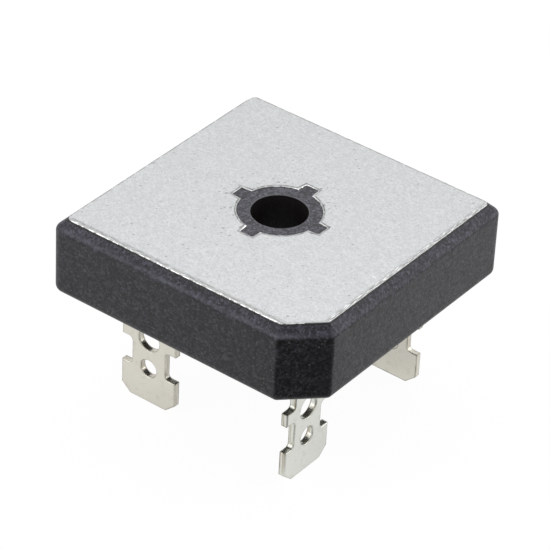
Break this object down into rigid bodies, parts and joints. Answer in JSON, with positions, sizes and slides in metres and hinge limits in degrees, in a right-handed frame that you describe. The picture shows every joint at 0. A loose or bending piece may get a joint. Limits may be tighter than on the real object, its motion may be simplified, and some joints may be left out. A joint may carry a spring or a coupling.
{
  "type": "bridge rectifier",
  "caption": "Square chassis-mount bridge rectifier with a metal heat-sink base, a through bore, a cut corner and punched push-on terminals.",
  "frame": {"origin": "on the axis of the screw bore, in the plane of the four terminal tips on which the part stands", "axes": "+Z along the bore towards the metal base, which faces up; +X and +Y along the sides of the square case, with the cut corner beside the positive terminal at +X -Y"},
  "size_m": [0.0286, 0.0286, 0.0194],
  "materials": {
    "moulding": "matte black moulding with a fine grain",
    "resin": "cast black resin, satin",
    "base_metal": "matt nickel plating with fine pits",
    "terminal_metal": "satin tin plating",
    "ceramic": "white fired alumina",
    "copper": "bare copper",
    "silicon": "dark grey silicon",
    "solder": "dull solder"
  },
  "bodies": {
    "root": {"base_plate": "base_metal", "base_solder": "solder", "bore_sleeve": "moulding", "case": "moulding", "chip_solder": "solder", "clip_1": "copper", "clip_2": "copper", "clip_3": "copper", "clip_4": "copper", "clip_solder": "solder", "diode_chip_1": "silicon", "diode_chip_2": "silicon", "diode_chip_3": "silicon", "diode_chip_4": "silicon", "insulator": "ceramic", "pad_ac_1": "copper", "pad_ac_2": "copper", "pad_negative": "copper", "pad_positive": "copper", "potting": "resin", "terminal_ac_1": "terminal_metal", "terminal_ac_2": "terminal_metal", "terminal_negative": "terminal_metal", "terminal_positive": "terminal_metal", "terminal_solder": "solder"}
  },
  "joints": []
}
